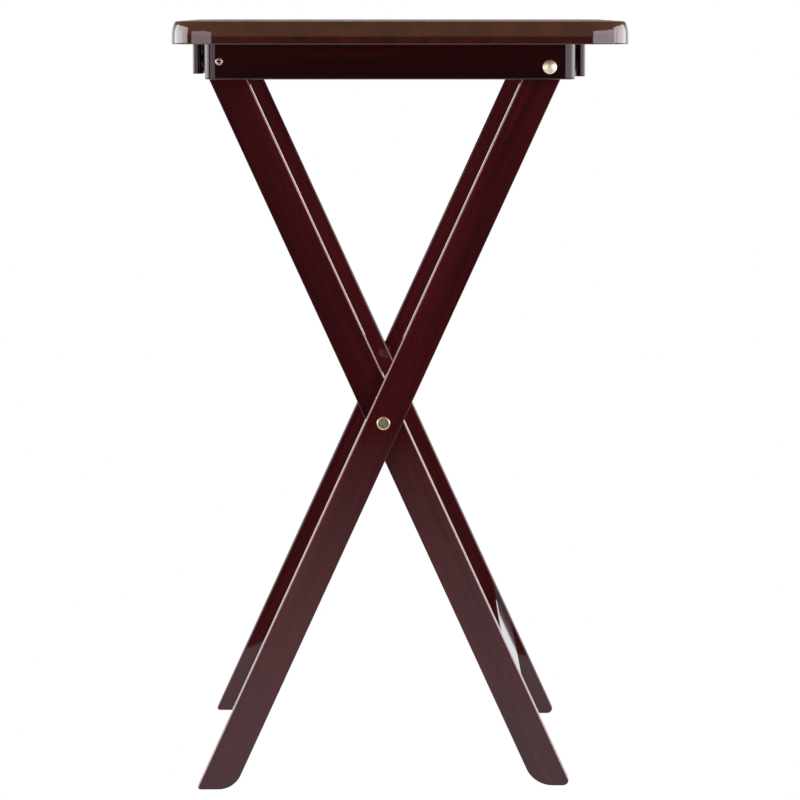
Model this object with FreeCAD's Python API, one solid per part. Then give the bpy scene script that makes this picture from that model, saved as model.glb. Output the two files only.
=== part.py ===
import FreeCAD, Part
import math
import os

# Folding tray table. Millimetres, +Z up, floor at Z 0. The top's long side runs along Y, and the
# legs cross in the XZ plane at its front (-Y) and its back (+Y).

# ---- the top ----
HEIGHT = 680.8
TOP_X = 398.0
TOP_Y = 510.0
TOP_THICK = 19.8
TOP_CORNER = 36.0
EDGE_ROUND_DEEP = 4.0       # the top's upper edge round, across the top
EDGE_ROUND_TALL = 13.0      # the same round, down the edge
EDGE_LOWER_DEEP = 0.4       # the lower edge round, in the same proportion
PLANED = 0.01               # taken off each face of the moulded panel, to leave it flat

# ---- the legs ----
OUTER_SPAN = 416.0          # between the outward faces of the two outer legs
LEG_WIDE = 30.6
LEG_THICK = 16.0
LEG_GAP = 2.0               # between an outer leg and the inner leg beside it
LEG_ANGLE = 24.56           # each leg from the vertical, open
LEG_UPPER_EASE = 1.6        # small round along a leg's edges on its upper side
LEG_LOWER_EASE = 0.5        # and on its lower side
CROSS_X = -14.7
CROSS_Z = 327.8
PIVOT_RISE = 313.4          # from the crossing up to the apron pivot
PIVOT_RUN = 145.0           # and across to it
INNER_LEG_OFFSET = 1.5      # the crossing hole is this far below an inner leg's centre line
OUTER_FOOT_ROUNDS = (22.0, 2.5)     # the blunt corner of the foot, and the sharp one
INNER_FOOT_ROUNDS = (26.0, 5.0)
INNER_TIP_ROUND = 16.8      # radius of an inner leg's rounded upper end
INNER_TIP_SHIFT_X = 2.2     # of that round's middle from the top dowel's axis
INNER_TIP_SHIFT_Z = 1.1

# ---- the bars between the inner legs ----
TOP_DOWEL_DIA = 20.0
TENON_DIA = 13.0
TENON_LONG = 12.0
STRETCHER_WIDE = 43.6
STRETCHER_THICK = 16.0
STRETCHER_DROP = 258.5      # from the crossing down the inner leg to the board's middle
STRETCHER_RECESS = 4.6      # upper face below the leg's upper edge
STRETCHER_EASE = 1.4
PIN_DIA = 8.0
PIN_IN_LEG = 11.0
PIN_IN_BOARD = 20.0
PIN_SPACING = 24.0

# ---- the aprons and what fixes them ----
APRON_LEFT = -170.3
APRON_RIGHT = 152.5
APRON_TALL = 30.7
APRON_THICK = 16.0
APRON_GAP = 1.0
APRON_END_ROUND = 9.2
APRON_EASE = 1.4
APRON_PIN_DIA = 8.0
APRON_PIN_XS = (-110.0, -10.0, 80.0)
APRON_PIN_UP = 10.0
APRON_PIN_DOWN = 18.0
BLOCK_WIDE = 24.0
SCREW_X = -157.5
SCREW_Z = 646.0
SCREW_DIA = 4.0
SCREW_LONG = 32.0
SCREW_HEAD_DIA = 6.8
SCREW_HEAD_TALL = 1.8
SCREW_RIM_ROUND = 1.2
CROSS_SLOT_LONG = 4.4
CROSS_SLOT_WIDE = 1.3
CROSS_SLOT_DEEP = 1.6

# ---- the rails under the top's two ends ----
RAIL_THICK = 9.6
LEFT_RAIL_X = -183.2
RIGHT_RAIL_X = 154.2
LEFT_RAIL_TALL = 26.7
RIGHT_RAIL_TALL = 29.0
RAIL_SHORT = 2.0            # the rails stop short of the inner legs, which swing past them
RAIL_END_ROUND = 4.4
RAIL_EASE = 1.0
RAIL_SCREW_YS = (-140.0, 0.0, 140.0)
RAIL_SCREW_DIA = 3.5
RAIL_SCREW_HEAD_DIA = 6.4
RAIL_SCREW_HEAD_TALL = 2.0
RAIL_SCREW_SINK = 6.0       # its head above the rail's lower face
RAIL_SCREW_UP = 11.0

# ---- the snap clips that hold the top dowel ----
CLIP_Y = 120.0
CLIP_WIDE = 22.0
CLIP_WALL = 3.0
CLIP_MOUTH = 5.0            # how far the jaws reach past the dowel's axis
CLIP_TAIL = 16.0
CLIP_SCREW_STEPS = (16.0, 28.0)     # of its screws from the dowel's axis
CLIP_SCREW_DIA = 3.5
CLIP_SCREW_UP = 12.0
CLIP_SCREW_HEAD_DIA = 7.0
CLIP_SCREW_HEAD_TALL = 1.6

# ---- the bolts ----
BOLT_DIA = 6.0
HEAD_DIA = 12.2
HEAD_TALL = 2.4
HEAD_RIM_ROUND = 1.3
DOME_RIM = 0.8              # straight part of the domed head, below the dome
BUSH_DIA = 9.0
RUNNING = 0.05              # radial clearance where something turns
WASHER_DIA = 17.0
NUT_DIA = 11.0
NUT_TALL = 8.0
NUT_ROUND = 3.0
NUT_END = 2.0               # the bolt stops this far inside a cap nut
PUSH_NUT_BORE = 16.0
PUSH_NUT_ROOM = 4.5
PUSH_NUT_DIA = 13.0
PUSH_NUT_TALL = 2.6
FREE = 0.4                  # air between parts that move past each other
TINY = 1e-6                 # two places closer than this are the same place
CUT_OVER = 0.1              # a cutting tool reaches this far past the face that it opens

# ---- worked-out places ----
UNDER = HEIGHT - TOP_THICK
OUT_Y = OUTER_SPAN / 2
OUTER_IN_Y = OUT_Y - LEG_THICK
INNER_OUT_Y = OUTER_IN_Y - LEG_GAP
INNER_IN_Y = INNER_OUT_Y - LEG_THICK
APRON_IN_Y = OUT_Y + APRON_GAP
APRON_OUT_Y = APRON_IN_Y + APRON_THICK
APRON_LOW = UNDER - APRON_TALL
RAIL_END_Y = INNER_IN_Y - RAIL_SHORT
SCREW_TIP_Y = APRON_OUT_Y - SCREW_LONG
NUT_START_Y = INNER_IN_Y - FREE
BOLT_END_Y = INNER_IN_Y - NUT_TALL + NUT_END
ANGLE = math.radians(LEG_ANGLE)
PIVOT_X = CROSS_X + PIVOT_RUN
DOWEL_X = CROSS_X - PIVOT_RUN
PIVOT_Z = CROSS_Z + PIVOT_RISE
LEG_UP = PIVOT_RISE / math.cos(ANGLE)
LEG_DOWN = CROSS_Z / math.cos(ANGLE)
STRETCHER_ACROSS = INNER_LEG_OFFSET + LEG_WIDE / 2 - STRETCHER_RECESS - STRETCHER_THICK / 2

V = FreeCAD.Vector
SIDES = (("front", -1), ("back", 1))


def block(low, high):
    size = [h - l for l, h in zip(low, high)]
    return Part.makeBox(size[0], size[1], size[2], V(*low))


def y_rod(x, z, y_from, y_to, dia):
    """A cylinder along Y between two Y positions, in either order."""
    start = min(y_from, y_to)
    return Part.makeCylinder(dia / 2, abs(y_to - y_from), V(x, start, z), V(0, 1, 0))


def z_rod(x, y, z_low, z_high, dia):
    return Part.makeCylinder(dia / 2, z_high - z_low, V(x, y, z_low), V(0, 0, 1))


def y_span(side, inner, outer):
    """The Y interval of something between two distances from the middle, on one side."""
    return sorted((side * inner, side * outer))


def edges_along(shape, axis):
    found = []
    for edge in shape.Edges:
        if isinstance(edge.Curve, Part.Line):
            run = (edge.Vertexes[1].Point - edge.Vertexes[0].Point).normalize()
            if abs(abs(run.dot(axis)) - 1) < TINY:
                found.append(edge)
    return found


def edges_on_z(shape, z):
    return [e for e in shape.Edges if abs(e.BoundBox.ZMin - z) < TINY and abs(e.BoundBox.ZMax - z) < TINY]


def edges_on_y(shape, y):
    return [e for e in shape.Edges if abs(e.BoundBox.YMin - y) < TINY and abs(e.BoundBox.YMax - y) < TINY]


def tabletop():
    """The edge rounds are elliptical: made as circles in a flattened panel, then stretched."""
    flatten = EDGE_ROUND_DEEP / EDGE_ROUND_TALL
    thick = (TOP_THICK + PLANED * 2) * flatten
    panel = block((-TOP_X / 2, -TOP_Y / 2, 0), (TOP_X / 2, TOP_Y / 2, thick))
    panel = panel.makeFillet(TOP_CORNER, edges_along(panel, V(0, 0, 1)))
    panel = panel.makeFillet(EDGE_ROUND_DEEP, edges_on_z(panel, thick))
    panel = panel.makeFillet(EDGE_LOWER_DEEP, edges_on_z(panel, 0))
    stretch = FreeCAD.Matrix()
    stretch.scale(1, 1, 1 / flatten)
    panel = panel.transformGeometry(stretch)
    panel.translate(V(0, 0, UNDER - PLANED))
    return panel.common(block((-TOP_X, -TOP_Y, UNDER), (TOP_X, TOP_Y, HEIGHT)))


def lean(shape, y_low, toward):
    """Stand an upright leg form on the crossing axis, its upper end leaning toward +X or -X."""
    shape.rotate(V(0, 0, 0), V(0, 1, 0), toward * LEG_ANGLE)
    shape.translate(V(CROSS_X, y_low, CROSS_Z))
    return shape


def cut_at_floor(shape):
    below = block((-HEIGHT, -HEIGHT, -HEIGHT), (HEIGHT, HEIGHT, 0))
    return shape.cut(below)


def near(edge, x, z, reach):
    middle = edge.CenterOfMass
    return math.hypot(middle.x - x, middle.z - z) < reach


def foot_corner(lean_to, side_of_leg, offset):
    """X on the floor of one edge of a leg that leans to +X (1) or -X (-1)."""
    middle = CROSS_X - lean_to * CROSS_Z * math.tan(ANGLE) + offset / math.cos(ANGLE)
    return middle + side_of_leg * LEG_WIDE / 2 / math.cos(ANGLE)


def rounded_foot(leg, lean_to, offset, rounds):
    """Cut a leg at the floor and round the two corners of its foot."""
    leg = cut_at_floor(leg)
    for side_of_leg, radius in zip((lean_to, -lean_to), rounds):
        x = foot_corner(lean_to, side_of_leg, offset)
        leg = leg.makeFillet(radius, [e for e in edges_along(leg, V(0, 1, 0)) if near(e, x, 0, 1.0)])
    return leg


def eased_bar(lean_to, offset, y_low):
    """A straight bar along a leg, its long edges eased more on its upper side than on its lower."""
    long = LEG_UP + LEG_DOWN
    bar = block((offset - LEG_WIDE / 2, 0, -long), (offset + LEG_WIDE / 2, LEG_THICK, long))
    for way, radius in ((-lean_to, LEG_UPPER_EASE), (lean_to, LEG_LOWER_EASE)):
        edges = [e for e in edges_along(bar, V(0, 0, 1)) if (e.CenterOfMass.x - offset) * way > 0]
        bar = bar.makeFillet(radius, edges)
    return lean(bar, y_low, lean_to)


def outer_leg(side):
    y_low, y_high = y_span(side, OUTER_IN_Y, OUT_Y)
    stem = block((-LEG_WIDE / 2, 0, -LEG_DOWN - LEG_WIDE), (LEG_WIDE / 2, LEG_THICK, LEG_UP))
    tip = Part.makeCylinder(LEG_WIDE / 2, LEG_THICK, V(0, 0, LEG_UP), V(0, 1, 0))
    leg = rounded_foot(lean(stem.fuse(tip).removeSplitter(), y_low, 1), 1, 0, OUTER_FOOT_ROUNDS)
    leg = leg.common(eased_bar(1, 0, y_low))
    leg = leg.cut(y_rod(CROSS_X, CROSS_Z, y_low, y_high, BOLT_DIA))
    leg = leg.cut(y_rod(PIVOT_X, PIVOT_Z, y_low, y_high, BUSH_DIA))
    room_end = side * (OUTER_IN_Y + PUSH_NUT_ROOM)
    return leg.cut(y_rod(PIVOT_X, PIVOT_Z, side * OUTER_IN_Y, room_end, PUSH_NUT_BORE))


def inner_leg(side):
    y_low, y_high = y_span(side, INNER_IN_Y, INNER_OUT_Y)
    x_low = INNER_LEG_OFFSET - LEG_WIDE / 2
    stem = block((x_low, 0, -LEG_DOWN - LEG_WIDE), (x_low + LEG_WIDE, LEG_THICK, LEG_UP + LEG_WIDE))
    leg = lean(stem, y_low, -1)
    shaft = block((-LEG_WIDE, 0, -LEG_DOWN - LEG_WIDE * 2), (LEG_WIDE, LEG_THICK, LEG_UP))
    tip = y_rod(DOWEL_X + INNER_TIP_SHIFT_X, PIVOT_Z + INNER_TIP_SHIFT_Z, y_low, y_high, INNER_TIP_ROUND * 2)
    leg = leg.common(lean(shaft, y_low, -1).fuse(tip))
    leg = rounded_foot(leg, -1, INNER_LEG_OFFSET, INNER_FOOT_ROUNDS)
    leg = leg.common(eased_bar(-1, INNER_LEG_OFFSET, y_low))
    leg = leg.cut(y_rod(CROSS_X, CROSS_Z, y_low, y_high, BUSH_DIA))
    blind_low, blind_high = y_span(side, INNER_IN_Y, INNER_IN_Y + TENON_LONG)
    leg = leg.cut(y_rod(DOWEL_X, PIVOT_Z, blind_low, blind_high, TENON_DIA))
    for x, z in stretcher_pin_places():
        leg = leg.cut(y_rod(x, z, side * INNER_IN_Y, side * (INNER_IN_Y + PIN_IN_LEG), PIN_DIA))
    return leg


def down_inner_leg(along, across):
    """The XZ place at a distance down an inner leg from the crossing and across it to its upper side."""
    x = CROSS_X + along * math.sin(ANGLE) + across * math.cos(ANGLE)
    z = CROSS_Z - along * math.cos(ANGLE) + across * math.sin(ANGLE)
    return x, z


def stretcher_pin_places():
    half = PIN_SPACING / 2
    return [down_inner_leg(STRETCHER_DROP + step, STRETCHER_ACROSS) for step in (-half, half)]


def lower_stretcher():
    board = block((-STRETCHER_THICK / 2, -INNER_IN_Y, -STRETCHER_WIDE / 2),
                  (STRETCHER_THICK / 2, INNER_IN_Y, STRETCHER_WIDE / 2))
    board = board.makeFillet(STRETCHER_EASE, edges_along(board, V(0, 1, 0)))
    board.rotate(V(0, 0, 0), V(0, 1, 0), -LEG_ANGLE)
    x, z = down_inner_leg(STRETCHER_DROP, STRETCHER_ACROSS)
    board.translate(V(x, 0, z))
    for pin in stretcher_pins():
        board = board.cut(pin)
    return board


def stretcher_pins():
    return [y_rod(x, z, side * (INNER_IN_Y - PIN_IN_BOARD), side * (INNER_IN_Y + PIN_IN_LEG), PIN_DIA)
            for x, z in stretcher_pin_places() for _, side in SIDES]


def top_dowel():
    rod = y_rod(DOWEL_X, PIVOT_Z, -INNER_IN_Y, INNER_IN_Y, TOP_DOWEL_DIA)
    reach = INNER_IN_Y + TENON_LONG
    return rod.fuse(y_rod(DOWEL_X, PIVOT_Z, -reach, reach, TENON_DIA)).removeSplitter()


def apron(side):
    y_low, y_high = y_span(side, APRON_IN_Y, APRON_OUT_Y)
    bar = block((APRON_LEFT, y_low, APRON_LOW), (APRON_RIGHT, y_high, UNDER))
    outer = side * APRON_OUT_Y
    ends = [e for e in edges_along(bar, V(0, 0, 1)) if abs(e.BoundBox.YMin - outer) < TINY]
    bar = bar.makeFillet(APRON_END_ROUND, ends)
    bar = bar.makeFillet(APRON_EASE, edges_on_z(bar, APRON_LOW))
    bar = bar.cut(y_rod(PIVOT_X, PIVOT_Z, y_low, y_high, BOLT_DIA))
    bar = bar.cut(y_rod(SCREW_X, SCREW_Z, y_low, y_high, SCREW_DIA))
    for pin in apron_pins(side):
        bar = bar.cut(pin)
    return bar


def apron_pins(side):
    y = side * (APRON_IN_Y + APRON_THICK / 2)
    return [z_rod(x, y, UNDER - APRON_PIN_DOWN, UNDER + APRON_PIN_UP, APRON_PIN_DIA) for x in APRON_PIN_XS]


def corner_block(side):
    """Glued behind the apron and under the top; the apron's screw ends in it."""
    y_low, y_high = y_span(side, INNER_OUT_Y + FREE, APRON_IN_Y)
    low = UNDER - BLOCK_WIDE
    body = block((SCREW_X - BLOCK_WIDE / 2, y_low, low), (SCREW_X + BLOCK_WIDE / 2, y_high, UNDER))
    body = body.makeFillet(APRON_EASE, edges_on_z(body, low))
    return body.cut(y_rod(SCREW_X, SCREW_Z, side * APRON_OUT_Y, side * SCREW_TIP_Y, SCREW_DIA))


def apron_screw(side):
    shank = y_rod(SCREW_X, SCREW_Z, side * SCREW_TIP_Y, side * APRON_OUT_Y, SCREW_DIA)
    rim_y = side * (APRON_OUT_Y + SCREW_HEAD_TALL)
    head = y_rod(SCREW_X, SCREW_Z, side * APRON_OUT_Y, rim_y, SCREW_HEAD_DIA)
    head = head.makeFillet(SCREW_RIM_ROUND, edges_on_y(head, rim_y))
    screw = shank.fuse(head)
    y_low, y_high = sorted((rim_y + side * CUT_OVER, rim_y - side * CROSS_SLOT_DEEP))
    for wide, tall in ((CROSS_SLOT_LONG, CROSS_SLOT_WIDE), (CROSS_SLOT_WIDE, CROSS_SLOT_LONG)):
        screw = screw.cut(block((SCREW_X - wide / 2, y_low, SCREW_Z - tall / 2),
                                (SCREW_X + wide / 2, y_high, SCREW_Z + tall / 2)))
    return screw.removeSplitter()


def rail(x_low, tall):
    low = UNDER - tall
    bar = block((x_low, -RAIL_END_Y, low), (x_low + RAIL_THICK, RAIL_END_Y, UNDER))
    bar = bar.makeFillet(RAIL_END_ROUND, edges_along(bar, V(0, 0, 1)))
    bar = bar.makeFillet(RAIL_EASE, edges_on_z(bar, low))
    for y in RAIL_SCREW_YS:
        bar = bar.cut(z_rod(x_low + RAIL_THICK / 2, y, low, UNDER, RAIL_SCREW_DIA))
        bar = bar.cut(z_rod(x_low + RAIL_THICK / 2, y, low, low + RAIL_SCREW_SINK, RAIL_SCREW_HEAD_DIA))
    return bar


def rail_screws():
    screws = []
    for x_low, tall in ((LEFT_RAIL_X, LEFT_RAIL_TALL), (RIGHT_RAIL_X, RIGHT_RAIL_TALL)):
        head_low = UNDER - tall + RAIL_SCREW_SINK - RAIL_SCREW_HEAD_TALL
        for y in RAIL_SCREW_YS:
            shank = z_rod(x_low + RAIL_THICK / 2, y, head_low, UNDER + RAIL_SCREW_UP, RAIL_SCREW_DIA)
            head_top = head_low + RAIL_SCREW_HEAD_TALL
            head = z_rod(x_low + RAIL_THICK / 2, y, head_low, head_top, RAIL_SCREW_HEAD_DIA)
            screws.append(shank.fuse(head).removeSplitter())
    return screws


def latch_clip(side):
    """A C around the dowel, open toward +X, with a tail flat under the top for its screws."""
    y_low, y_high = y_span(side, CLIP_Y - CLIP_WIDE / 2, CLIP_Y + CLIP_WIDE / 2)
    hold = TOP_DOWEL_DIA + FREE * 2
    ring = y_rod(DOWEL_X, PIVOT_Z, y_low, y_high, hold + CLIP_WALL * 2)
    post = block((DOWEL_X - TOP_DOWEL_DIA / 2, y_low, PIVOT_Z), (DOWEL_X + CLIP_MOUTH, y_high, UNDER))
    plate = block((DOWEL_X - TOP_DOWEL_DIA / 2, y_low, UNDER - CLIP_WALL),
                  (DOWEL_X + TOP_DOWEL_DIA + CLIP_TAIL, y_high, UNDER))
    clip = ring.fuse(post).fuse(plate)
    clip = clip.cut(y_rod(DOWEL_X, PIVOT_Z, y_low, y_high, hold))
    way_out = block((DOWEL_X, y_low, PIVOT_Z - hold / 2),
                    (DOWEL_X + TOP_DOWEL_DIA * 2, y_high, PIVOT_Z + hold / 2))
    clip = clip.cut(way_out).removeSplitter()
    for x in clip_screw_xs():
        clip = clip.cut(z_rod(x, side * CLIP_Y, UNDER - CLIP_WALL, UNDER, CLIP_SCREW_DIA))
    return clip


def clip_screw_xs():
    return [DOWEL_X + step for step in CLIP_SCREW_STEPS]


def clip_screws():
    screws = []
    for _, side in SIDES:
        for x in clip_screw_xs():
            face = UNDER - CLIP_WALL
            shank = z_rod(x, side * CLIP_Y, face, UNDER + CLIP_SCREW_UP, CLIP_SCREW_DIA)
            head = z_rod(x, side * CLIP_Y, face - CLIP_SCREW_HEAD_TALL, face, CLIP_SCREW_HEAD_DIA)
            screws.append(shank.fuse(head).removeSplitter())
    return screws


def bolt_head(x, z, side, face_y):
    """A low brass head with a rounded rim, standing outward on a face."""
    rim_y = side * (face_y + HEAD_TALL)
    head = y_rod(x, z, side * face_y, rim_y, HEAD_DIA)
    return head.makeFillet(HEAD_RIM_ROUND, edges_on_y(head, rim_y))


def domed_head(x, z, side, face_y):
    """A head with a straight rim and a domed face, turned about its own axis."""
    foot, rim, crown = (side * (face_y + out) for out in (0, DOME_RIM, HEAD_TALL))
    across = HEAD_DIA / 2
    rise = HEAD_TALL - DOME_RIM
    ball = (across ** 2 + rise ** 2) / (2 * rise)
    half_way = math.asin(across / ball) / 2
    middle = V(x + ball * math.sin(half_way), crown - side * ball * (1 - math.cos(half_way)), z)
    dome = Part.Arc(V(x + across, rim, z), middle, V(x, crown, z)).toShape()
    corners = [V(x, crown, z), V(x, foot, z), V(x + across, foot, z), V(x + across, rim, z)]
    outline = Part.makePolygon(corners)
    face = Part.Face(Part.Wire(outline.Edges + [dome]))
    head = face.revolve(V(x, 0, z), V(0, 1, 0), 360)
    return head if head.Volume > 0 else head.reversed()


def crossing_bolt(side):
    shank = y_rod(CROSS_X, CROSS_Z, side * BOLT_END_Y, side * OUT_Y, BOLT_DIA)
    return shank.fuse(bolt_head(CROSS_X, CROSS_Z, side, OUT_Y)).removeSplitter()


def pivot_bolt(side):
    shank = y_rod(PIVOT_X, PIVOT_Z, side * (OUTER_IN_Y + FREE), side * APRON_OUT_Y, BOLT_DIA)
    return shank.fuse(domed_head(PIVOT_X, PIVOT_Z, side, APRON_OUT_Y)).removeSplitter()


def crossing_nut(side):
    tip_y = side * (NUT_START_Y - NUT_TALL)
    body = y_rod(CROSS_X, CROSS_Z, side * NUT_START_Y, tip_y, NUT_DIA)
    body = body.makeFillet(NUT_ROUND, edges_on_y(body, tip_y))
    return body.cut(y_rod(CROSS_X, CROSS_Z, side * NUT_START_Y, side * BOLT_END_Y, BOLT_DIA))


def ring_on_y(x, z, y_from, y_to, outer, inner):
    return y_rod(x, z, y_from, y_to, outer).cut(y_rod(x, z, y_from, y_to, inner))


def crossing_washer(side):
    """Sits on the outer leg and keeps the two legs apart."""
    inner = OUTER_IN_Y - LEG_GAP + FREE
    return ring_on_y(CROSS_X, CROSS_Z, side * OUTER_IN_Y, side * inner, WASHER_DIA, BOLT_DIA)


def pivot_washer(side):
    """Sits on the apron and keeps it off the outer leg."""
    inner = APRON_IN_Y - APRON_GAP + FREE
    return ring_on_y(PIVOT_X, PIVOT_Z, side * APRON_IN_Y, side * inner, WASHER_DIA, BOLT_DIA)


def crossing_bushing(side):
    bore = BOLT_DIA + RUNNING * 2
    return ring_on_y(CROSS_X, CROSS_Z, side * INNER_IN_Y, side * INNER_OUT_Y, BUSH_DIA, bore)


def pivot_bushing(side):
    inner = OUTER_IN_Y + PUSH_NUT_ROOM
    return ring_on_y(PIVOT_X, PIVOT_Z, side * inner, side * OUT_Y, BUSH_DIA, BOLT_DIA + RUNNING * 2)


def push_nut(side):
    """Pressed on the pivot bolt's end, inside the outer leg's counterbore."""
    start = OUTER_IN_Y + PUSH_NUT_ROOM - FREE
    end = start - PUSH_NUT_TALL
    return ring_on_y(PIVOT_X, PIVOT_Z, side * start, side * end, PUSH_NUT_DIA, BOLT_DIA)


def bored_tabletop():
    """The tabletop with blind holes for everything that goes up into it."""
    panel = tabletop()
    for _, side in SIDES:
        for pin in apron_pins(side):
            panel = panel.cut(pin)
    for screw in rail_screws() + clip_screws():
        panel = panel.cut(screw)
    return panel


def nodes():
    table = {
        "tabletop": bored_tabletop(),
        "left_rail": rail(LEFT_RAIL_X, LEFT_RAIL_TALL),
        "right_rail": rail(RIGHT_RAIL_X, RIGHT_RAIL_TALL),
        "rail_screws": Part.Compound(rail_screws()),
        "clip_screws": Part.Compound(clip_screws()),
        "lower_stretcher": lower_stretcher(),
        "stretcher_dowels": Part.Compound(stretcher_pins()),
        "top_dowel": top_dowel(),
    }
    makers = {
        "apron": apron,
        "corner_block": corner_block,
        "apron_screw": apron_screw,
        "latch_clip": latch_clip,
        "outer_leg": outer_leg,
        "inner_leg": inner_leg,
        "crossing_bolt": crossing_bolt,
        "crossing_nut": crossing_nut,
        "crossing_washer": crossing_washer,
        "crossing_bushing": crossing_bushing,
        "pivot_bolt": pivot_bolt,
        "pivot_washer": pivot_washer,
        "pivot_bushing": pivot_bushing,
        "push_nut": push_nut,
    }
    for word, side in SIDES:
        table[word + "_apron_dowels"] = Part.Compound(apron_pins(side))
        for name, make in makers.items():
            table[word + "_" + name] = make(side)
    return table


os.makedirs("parts", exist_ok=True)
for node_name, shape in nodes().items():
    shape.exportStep(os.path.join("parts", node_name + ".step"))
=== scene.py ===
import math

import bpy
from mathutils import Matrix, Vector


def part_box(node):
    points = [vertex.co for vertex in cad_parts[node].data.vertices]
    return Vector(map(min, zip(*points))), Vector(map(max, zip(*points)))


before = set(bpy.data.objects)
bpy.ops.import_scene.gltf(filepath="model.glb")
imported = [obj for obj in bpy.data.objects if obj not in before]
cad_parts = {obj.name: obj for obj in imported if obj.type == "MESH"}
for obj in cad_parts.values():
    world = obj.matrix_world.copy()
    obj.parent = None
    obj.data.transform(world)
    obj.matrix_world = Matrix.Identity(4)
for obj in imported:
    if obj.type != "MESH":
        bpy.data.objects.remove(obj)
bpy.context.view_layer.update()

# ---- the legs, in metres, whose lean the wood's grain and the painted edge highlights follow ----
LEG_LEAN = math.radians(24.56)      # each leg from the vertical, in the plane the legs cross in
LEG_WIDE = 0.0306
INNER_LEG_OFFSET = 0.0015           # the crossing is this far below an inner leg's centre line
HIGHLIGHT_FROM = 0.0014                  # how near a leg's edge the painted highlight line starts
HIGHLIGHT_TO = 0.0007                    # and how near it is full

# ---- the turns that lay the grain, which runs along Z, along a part ----
ALONG_X = (0.0, math.pi / 2, 0.0)
ALONG_Y = (math.pi / 2, 0.0, 0.0)
LEAN_RIGHT = (0.0, LEG_LEAN, 0.0)
LEAN_LEFT = (0.0, -LEG_LEAN, 0.0)

# ---- sizes of the markings, in metres: across, through and along the grain ----
FIGURE = (0.022, 0.022, 0.45)
STREAK = (0.0022, 0.0022, 0.12)
PORE = (0.0007, 0.0007, 0.012)
LACQUER_WAVE = (0.05, 0.05, 0.05)
BEECH_FIGURE = (0.002, 0.002, 0.03)
BEECH_FLECK = (0.0005, 0.0005, 0.004)
TARNISH = (0.004, 0.004, 0.004)
SCRATCH = (0.0012, 0.0012, 0.00009)
NYLON_MOTTLE = (0.012, 0.012, 0.012)
NYLON_GRAIN = (0.0004, 0.0004, 0.0004)

# ---- colours ----
LEG_DARK = (0.0255, 0.0018, 0.0032)
LEG_LIGHT = (0.074, 0.0056, 0.0078)
APRON_DARK = (0.0085, 0.0002, 0.0004)
APRON_LIGHT = (0.030, 0.0005, 0.0009)
TOP_DARK = (0.023, 0.0032, 0.0025)
TOP_LIGHT = (0.062, 0.0105, 0.0072)
EDGE_HIGHLIGHT = (0.52, 0.31, 0.33)      # a painted highlight: the light that a leg's rounded edge catches
OLD_LACQUER = (0.012, 0.005, 0.005)
BEECH_DARK = (0.50, 0.34, 0.20)
BEECH_LIGHT = (0.68, 0.50, 0.33)
BRASS = (0.90, 0.76, 0.47)
DOME_BRASS = (0.95, 0.87, 0.66)
BUSHING_BRASS = (0.70, 0.55, 0.30)
COPPER = (0.78, 0.56, 0.47)
ZINC = (0.62, 0.62, 0.60)
NYLON = (0.022, 0.021, 0.021)
WHITE = (1.0, 1.0, 1.0)

# ---- gloss ----
WOOD_GLOSS = 1.5                    # refractive index of the lacquer
TOP_GLOSS = 1.8
SATIN = 0.10                        # how much of its clear coat the top's upper face keeps
SCREW_GRIME = (0.0006, 0.0012)      # how far below the screw's face the recess darkens, from and to

# ---- how bright the room and the floor are, in the light they give and in reflections ----
BACKDROP = 1.2
CEILING = (0.43, 0.30, 0.17)
DARK_ROOM = 0.03
FLOOR = (0.86, 0.90, 0.93)
FLOOR_BOUNCE = 0.25                 # the light that the floor throws back up on the table
FLOOR_FADE = (-3.2, -0.4)           # the Y over which the floor goes from dark to pale, in metres
FLOOR_SIZE = 60.0
FLOOR_Z = -0.0006

# ---- where the room changes, as the Y or Z of a direction of length 1 ----
FRONT_TO_BACK = (-0.06, 0.06)
FRONT_CEILING = (0.03, 0.14)
BACK_CEILING = (0.06, 0.28)

# ---- lights, in metres ----
PANEL_DISTANCE = 2.2
LAVENDER = (0.93, 0.87, 1.0)
ROSE = (1.0, 0.88, 0.96)
SIDE_WHITE = (1.0, 0.97, 0.98)

# ---- camera, in metres and degrees ----
CAMERA_AT = (-0.0072, -3.6823, 0.69454)
CAMERA_DOWN = 5.690                 # below level
CAMERA_TURN = -0.118                # about Z, from straight along +Y
LENS = 178.234
SENSOR = 36.0
FAR_CLIP = 200.0


# ---------------------------------------------------------------- node helpers

def connect(tree, source, socket):
    """Feeds a socket from another node's socket, or sets it to a colour or a number."""
    if isinstance(source, bpy.types.NodeSocket):
        tree.links.new(source, socket)
    elif isinstance(source, tuple):
        socket.default_value = (*source, 1.0)
    else:
        socket.default_value = source


def mix_colours(tree, fac, a, b):
    """A colour mix. Each colour is a socket or a tuple."""
    mix = tree.nodes.new("ShaderNodeMix")
    mix.data_type = "RGBA"
    for source, socket in ((fac, mix.inputs[0]), (a, mix.inputs[6]), (b, mix.inputs[7])):
        connect(tree, source, socket)
    return mix.outputs[2]


def step(tree, value, span, to=(0.0, 1.0), shape="SMOOTHSTEP"):
    """The value's place between the two ends of span, taken to between the two ends of to."""
    node = tree.nodes.new("ShaderNodeMapRange")
    node.interpolation_type = shape
    for index, number in enumerate((*span, *to), start=1):
        node.inputs[index].default_value = number
    tree.links.new(value, node.inputs[0])
    return node.outputs[0]


def axis(tree, vector, name):
    """One of X, Y and Z of a vector."""
    node = tree.nodes.new("ShaderNodeSeparateXYZ")
    tree.links.new(vector, node.inputs[0])
    return node.outputs[name]


def coordinate(tree, kind, name):
    """One of X, Y and Z of a texture coordinate, such as Object or Normal."""
    return axis(tree, tree.nodes.new("ShaderNodeTexCoord").outputs[kind], name)


def math_node(tree, operation, a, b=0.0):
    node = tree.nodes.new("ShaderNodeMath")
    node.operation = operation
    for source, socket in zip((a, b), node.inputs):
        connect(tree, source, socket)
    return node.outputs[0]


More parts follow.
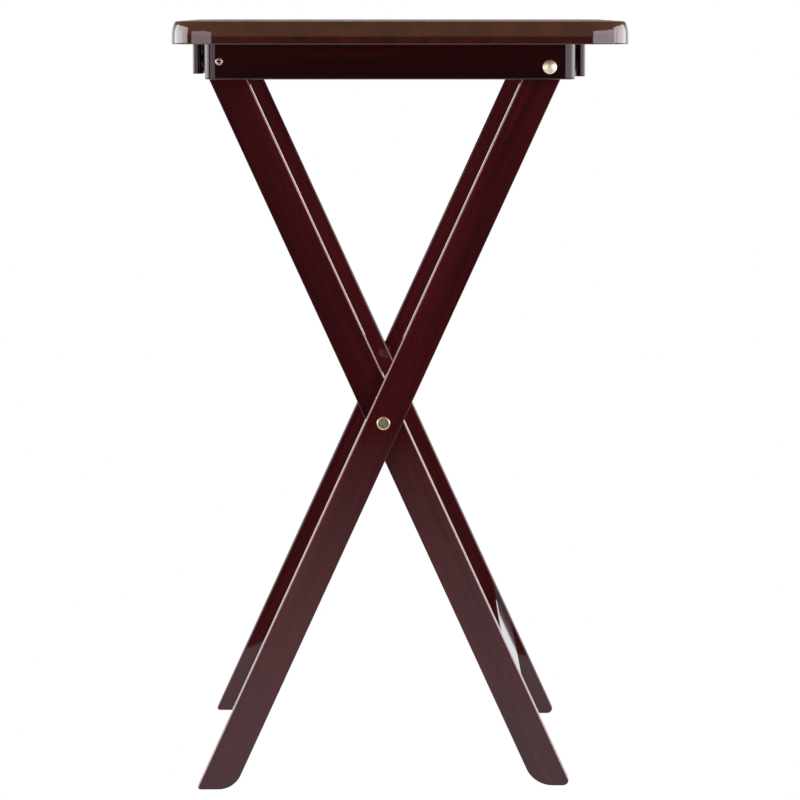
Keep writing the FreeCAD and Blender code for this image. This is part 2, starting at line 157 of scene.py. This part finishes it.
class Nodes:
    """A material's node tree, with short calls for the nodes that the materials share."""

    def __init__(self, name):
        self.material = bpy.data.materials.new(name)
        self.material.use_nodes = True
        self.tree = self.material.node_tree
        self.shader = self.tree.nodes["Principled BSDF"]

    def add(self, kind, **inputs):
        node = self.tree.nodes.new(kind)
        for key, value in inputs.items():
            node.inputs[key.replace("_", " ")].default_value = value
        return node

    def feed(self, source, name):
        """Links a socket to the shader's input of that name."""
        self.tree.links.new(source, self.shader.inputs[name])

    def set(self, **inputs):
        for key, value in inputs.items():
            self.shader.inputs[key.replace("_", " ")].default_value = value

    def placed(self, scale, turn=(0, 0, 0), origin=(0, 0, 0)):
        """Object coordinates in metres, about an origin, turned and then scaled."""
        coordinates = self.add("ShaderNodeTexCoord")
        mapping = self.tree.nodes.new("ShaderNodeMapping")
        mapping.vector_type = "TEXTURE"
        mapping.inputs["Location"].default_value = origin
        mapping.inputs["Rotation"].default_value = turn
        mapping.inputs["Scale"].default_value = scale
        self.tree.links.new(coordinates.outputs["Object"], mapping.inputs["Vector"])
        return mapping.outputs["Vector"]

    def noise(self, vector, scale=1.0, detail=3.0, roughness=0.5, distortion=0.0):
        node = self.add("ShaderNodeTexNoise", Scale=scale, Detail=detail, Roughness=roughness,
                        Distortion=distortion)
        self.tree.links.new(vector, node.inputs["Vector"])
        return node.outputs["Fac"]

    def ramp(self, fac, low, high):
        """A blend between two colours. Each end is a place and the colour there."""
        node = self.tree.nodes.new("ShaderNodeValToRGB")
        for element, (place, colour) in zip(node.color_ramp.elements, (low, high)):
            element.position = place
            element.color = (*colour, 1.0)
        self.tree.links.new(fac, node.inputs["Fac"])
        return node.outputs["Color"]

    def mix(self, fac, a, b):
        return mix_colours(self.tree, fac, a, b)

    def map_range(self, value, span, to):
        return step(self.tree, value, span, to, "LINEAR")

    def math(self, operation, a, b=0.0):
        return math_node(self.tree, operation, a, b)

    def bump(self, height, strength, distance, under=None):
        node = self.add("ShaderNodeBump", Strength=strength, Distance=distance)
        self.tree.links.new(height, node.inputs["Height"])
        if under is not None:
            self.tree.links.new(under, node.inputs["Normal"])
        return node.outputs["Normal"]


# ---------------------------------------------------------------- materials

def lacquered_wood(name, turn, dark, light, seed, gloss=WOOD_GLOSS, line=None):
    """Stained hardwood under clear gloss lacquer. The grain runs along Z after the turn.

    line, given the nodes, returns a mask of where a pale line, a painted highlight, is painted on.
    """
    n = Nodes(name)
    figure = n.noise(n.placed(FIGURE, turn), 1.0 + seed * 0.07, detail=4.0, roughness=0.55, distortion=0.6)
    streaks = n.noise(n.placed(STREAK, turn), roughness=0.6, distortion=0.2)
    pores = n.noise(n.placed(PORE, turn), detail=2.0)

    body = n.ramp(figure, (0.30, dark), (0.62, light))
    streaked = n.mix(n.map_range(streaks, (0.35, 0.70), (0.0, 0.55)), body, dark)
    pore_dark = tuple(c * 0.35 for c in dark)
    colour = n.mix(n.map_range(pores, (0.62, 0.70), (0.0, 0.7)), streaked, pore_dark)
    if line is not None:
        # The pale line is a painted highlight along the leg's rounded edge, made uneven by the streaks.
        uneven = n.map_range(streaks, (0.25, 0.6), (0.7, 1.0))
        colour = n.mix(n.math("MULTIPLY", line(n), uneven), colour, EDGE_HIGHLIGHT)
    n.feed(colour, "Base Color")
    n.feed(n.map_range(streaks, (0.3, 0.7), (0.34, 0.46)), "Roughness")

    waves = n.noise(n.placed(LACQUER_WAVE), detail=2.0)
    ripple = n.bump(waves, strength=0.25, distance=0.0015)
    n.feed(n.bump(pores, strength=0.06, distance=0.0002, under=ripple), "Normal")
    n.feed(n.bump(waves, strength=0.12, distance=0.0010), "Coat Normal")
    n.set(Specular_IOR_Level=0.03, Coat_Weight=1.0, Coat_Roughness=0.04, Coat_IOR=gloss)
    return n.material


def edge_highlight(leg, lean, side, edge):
    """A mask of the long edge on a leg's upper and outer side.

    The line painted there stands in for the light that the rounded edge catches.
    side is the local X way to that side of the leg, and edge its distance from the crossing.
    """
    low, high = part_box(leg)
    bolt_low, bolt_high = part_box("front_crossing_bolt")
    crossing = ((bolt_low[0] + bolt_high[0]) / 2, 0.0, (bolt_low[2] + bolt_high[2]) / 2)
    middle = abs(low[1] + high[1]) / 2
    half = (high[1] - low[1]) / 2

    def mask(n):
        place = n.placed((1.0, 1.0, 1.0), lean, crossing)
        out = n.math("MULTIPLY", axis(n.tree, place, "X"), side)
        depth = n.math("ABSOLUTE", axis(n.tree, place, "Y"))
        from_middle = n.math("SUBTRACT", depth, middle)
        near_side = n.map_range(out, (edge - HIGHLIGHT_FROM, edge - HIGHLIGHT_TO), (0.0, 1.0))
        near_face = n.map_range(from_middle, (half - HIGHLIGHT_FROM, half - HIGHLIGHT_TO), (0.0, 1.0))
        return n.math("MULTIPLY", near_side, near_face)

    return mask


def satin_top(material):
    """Less clear coat on the top's upper face, so that its grain shows under the side panels."""
    tree = material.node_tree
    facing_up = coordinate(tree, "Normal", "Z")
    weight = step(tree, facing_up, (0.90, 0.99), (1.0, SATIN))
    tree.links.new(weight, tree.nodes["Principled BSDF"].inputs["Coat Weight"])


def brushed_metal(name, colour, roughness):
    """Plated metal with fine random scratches and a little tarnish."""
    n = Nodes(name)
    tarnish = n.noise(n.placed(TARNISH), detail=4.0, roughness=0.6)
    darker = tuple(c * 0.72 for c in colour)
    n.feed(n.ramp(tarnish, (0.35, darker), (0.60, colour)), "Base Color")
    lines = n.noise(n.placed(SCRATCH), detail=2.0, roughness=0.6)
    n.feed(n.map_range(lines, (0.3, 0.7), (roughness * 0.7, roughness * 1.4)), "Roughness")
    n.feed(n.bump(lines, strength=0.25, distance=0.00005), "Normal")
    n.set(Metallic=1.0)
    return n.material


def cross_recess_screw(name, colour, roughness, screw):
    """Plated metal, dark with old lacquer down in the cross recess."""
    material = brushed_metal(name, colour, roughness)
    tree = material.node_tree
    base = tree.nodes["Principled BSDF"].inputs["Base Color"]
    low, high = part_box(screw)
    face = max(abs(low[1]), abs(high[1]))
    depth = math_node(tree, "ABSOLUTE", coordinate(tree, "Object", "Y"))
    sunk = step(tree, depth, (face - SCREW_GRIME[1], face - SCREW_GRIME[0]), (1.0, 0.0))
    plate = base.links[0].from_socket
    tree.links.new(mix_colours(tree, sunk, plate, OLD_LACQUER), base)
    return material


def moulded_nylon(name, colour):
    """Moulded nylon: a fine spark-eroded texture and slow mottling."""
    n = Nodes(name)
    mottle = n.noise(n.placed(NYLON_MOTTLE))
    darker = tuple(c * 0.8 for c in colour)
    n.feed(n.ramp(mottle, (0.3, darker), (0.7, colour)), "Base Color")
    grain = n.noise(n.placed(NYLON_GRAIN), detail=2.0)
    n.feed(n.map_range(grain, (0.3, 0.7), (0.38, 0.52)), "Roughness")
    n.feed(n.bump(grain, strength=0.3, distance=0.00004), "Normal")
    n.set(Specular_IOR_Level=0.4)
    return n.material


def bare_wood(name, turn, dark, light):
    """Unfinished beech dowel."""
    n = Nodes(name)
    figure = n.noise(n.placed(BEECH_FIGURE, turn), roughness=0.6)
    flecks = n.noise(n.placed(BEECH_FLECK, turn), detail=2.0)
    body = n.ramp(figure, (0.35, dark), (0.65, light))
    n.feed(n.mix(n.map_range(flecks, (0.6, 0.7), (0.0, 0.6)), body, dark), "Base Color")
    n.feed(n.map_range(figure, (0.3, 0.7), (0.62, 0.75)), "Roughness")
    n.feed(n.bump(flecks, strength=0.2, distance=0.0001), "Normal")
    return n.material


def finishes():
    """Pairs of a word and a material. A part takes the first pair whose word is in its name."""
    top = lacquered_wood("tabletop_lacquer", ALONG_Y, TOP_DARK, TOP_LIGHT, 1, TOP_GLOSS)
    apron = lacquered_wood("apron_lacquer", ALONG_X, APRON_DARK, APRON_LIGHT, 2)
    rail = lacquered_wood("rail_lacquer", ALONG_Y, APRON_DARK, APRON_LIGHT, 3)
    satin_top(top)
    # Masks for the painted highlight along each leg's upper edge.
    outer_highlight = edge_highlight("front_outer_leg", LEAN_RIGHT, -1.0, LEG_WIDE / 2)
    inner_highlight = edge_highlight("front_inner_leg", LEAN_LEFT, 1.0, LEG_WIDE / 2 + INNER_LEG_OFFSET)
    outer = lacquered_wood("outer_leg_lacquer", LEAN_RIGHT, LEG_DARK, LEG_LIGHT, 4, line=outer_highlight)
    inner = lacquered_wood("inner_leg_lacquer", LEAN_LEFT, LEG_DARK, LEG_LIGHT, 5, line=inner_highlight)
    board = lacquered_wood("stretcher_lacquer", ALONG_Y, LEG_DARK, LEG_LIGHT, 6)
    brass = brushed_metal("brass", BRASS, 0.16)
    dome = brushed_metal("dome_brass", DOME_BRASS, 0.36)
    copper = cross_recess_screw("copper_screw", COPPER, 0.30, "front_apron_screw")
    zinc = brushed_metal("zinc_screw", ZINC, 0.34)
    bushing = brushed_metal("bushing_brass", BUSHING_BRASS, 0.30)
    nylon = moulded_nylon("nylon", NYLON)
    beech = bare_wood("beech", ALONG_Y, BEECH_DARK, BEECH_LIGHT)
    return (
        ("tabletop", top), ("rail_screws", zinc), ("clip_screws", zinc), ("apron_screw", copper),
        ("apron_dowels", beech), ("stretcher_dowels", beech), ("rail", rail), ("apron", apron),
        ("corner_block", rail), ("outer_leg", outer), ("inner_leg", inner), ("lower_stretcher", board),
        ("top_dowel", board), ("crossing_bolt", brass), ("pivot_bolt", dome), ("crossing_nut", brass),
        ("push_nut", zinc), ("bushing", bushing), ("washer", nylon), ("latch_clip", nylon),
    )


def finish_cad_parts():
    table = finishes()
    for name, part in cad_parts.items():
        material = next(m for word, m in table if word in name)
        for slot in part.material_slots:
            slot.material = material


# ---------------------------------------------------------------- stage, light and camera

def camera_only_white(tree, other_colour):
    """White where the camera looks straight at it, and the given colour in light and reflections."""
    path = tree.nodes.new("ShaderNodeLightPath")
    return mix_colours(tree, path.outputs["Is Camera Ray"], other_colour, WHITE)


def studio_world():
    """A white backdrop low down behind the table, a dim warm ceiling, and a dark room in front."""
    world = bpy.data.worlds.new("studio")
    bpy.context.scene.world = world
    world.use_nodes = True
    tree = world.node_tree
    behind = step(tree, coordinate(tree, "Generated", "Y"), FRONT_TO_BACK)
    height = coordinate(tree, "Generated", "Z")
    front = mix_colours(tree, step(tree, height, FRONT_CEILING), (DARK_ROOM,) * 3, CEILING)
    back = mix_colours(tree, step(tree, height, BACK_CEILING), (BACKDROP,) * 3, CEILING)
    room = mix_colours(tree, behind, front, back)
    tree.links.new(camera_only_white(tree, room), tree.nodes["Background"].inputs["Color"])


def pale_floor():
    """A glowing floor, white to the camera, and in reflections dark far out in front of the table."""
    bpy.ops.mesh.primitive_plane_add(size=FLOOR_SIZE, location=(0.0, 0.0, FLOOR_Z))
    floor = bpy.context.object
    floor.name = "floor"
    material = bpy.data.materials.new("pale_floor")
    material.use_nodes = True
    tree = material.node_tree
    tree.nodes.clear()
    output = tree.nodes.new("ShaderNodeOutputMaterial")
    glow = tree.nodes.new("ShaderNodeEmission")
    fade = step(tree, coordinate(tree, "Object", "Y"), FLOOR_FADE, shape="LINEAR")
    lit = mix_colours(tree, fade, (DARK_ROOM,) * 3, FLOOR)
    rays = tree.nodes.new("ShaderNodeLightPath")
    bounced = mix_colours(tree, rays.outputs["Is Diffuse Ray"], lit, (FLOOR_BOUNCE,) * 3)
    tree.links.new(camera_only_white(tree, bounced), glow.inputs["Color"])
    tree.links.new(glow.outputs[0], output.inputs["Surface"])
    floor.data.materials.append(material)


def soft_box(name, turn, height, size, radiance, colour=WHITE, distance=PANEL_DISTANCE, reflected=True):
    """A square-on panel, turned about the table from straight in front of it, plus to the right."""
    data = bpy.data.lights.new(name, "AREA")
    data.shape = "RECTANGLE"
    data.size, data.size_y = size
    data.energy = radiance * math.pi * size[0] * size[1]
    data.color = colour
    light = bpy.data.objects.new(name, data)
    bpy.context.scene.collection.objects.link(light)
    light.visible_glossy = reflected
    angle = math.radians(turn)
    light.location = (distance * math.sin(angle), -distance * math.cos(angle), height)
    light.rotation_euler = (math.pi / 2, 0.0, angle)


def studio_lights():
    soft_box("right_panel", turn=47.0, height=0.60, size=(2.6, 1.2), radiance=2.5, colour=LAVENDER)
    soft_box("left_panel", turn=-32.0, height=0.55, size=(2.0, 1.1), radiance=1.7, colour=ROSE)
    soft_box("right_side", turn=100.0, height=0.90, size=(2.10, 1.10), radiance=3.3, colour=SIDE_WHITE)
    soft_box("left_side", turn=-97.0, height=0.90, size=(2.30, 1.10), radiance=3.4, colour=SIDE_WHITE)
    soft_box("fill", turn=12.0, height=1.9, size=(2.4, 1.2), radiance=1.0, distance=2.4, reflected=False)


def camera():
    data = bpy.data.cameras.new("camera")
    data.lens = LENS
    data.sensor_width = SENSOR
    data.clip_end = FAR_CLIP
    view = bpy.data.objects.new("camera", data)
    bpy.context.scene.collection.objects.link(view)
    view.location = CAMERA_AT
    view.rotation_euler = (math.radians(90.0 - CAMERA_DOWN), 0.0, math.radians(CAMERA_TURN))
    bpy.context.scene.camera = view


def main():
    finish_cad_parts()
    studio_world()
    pale_floor()
    studio_lights()
    camera()
    bpy.context.scene.view_settings.view_transform = "Standard"


main()
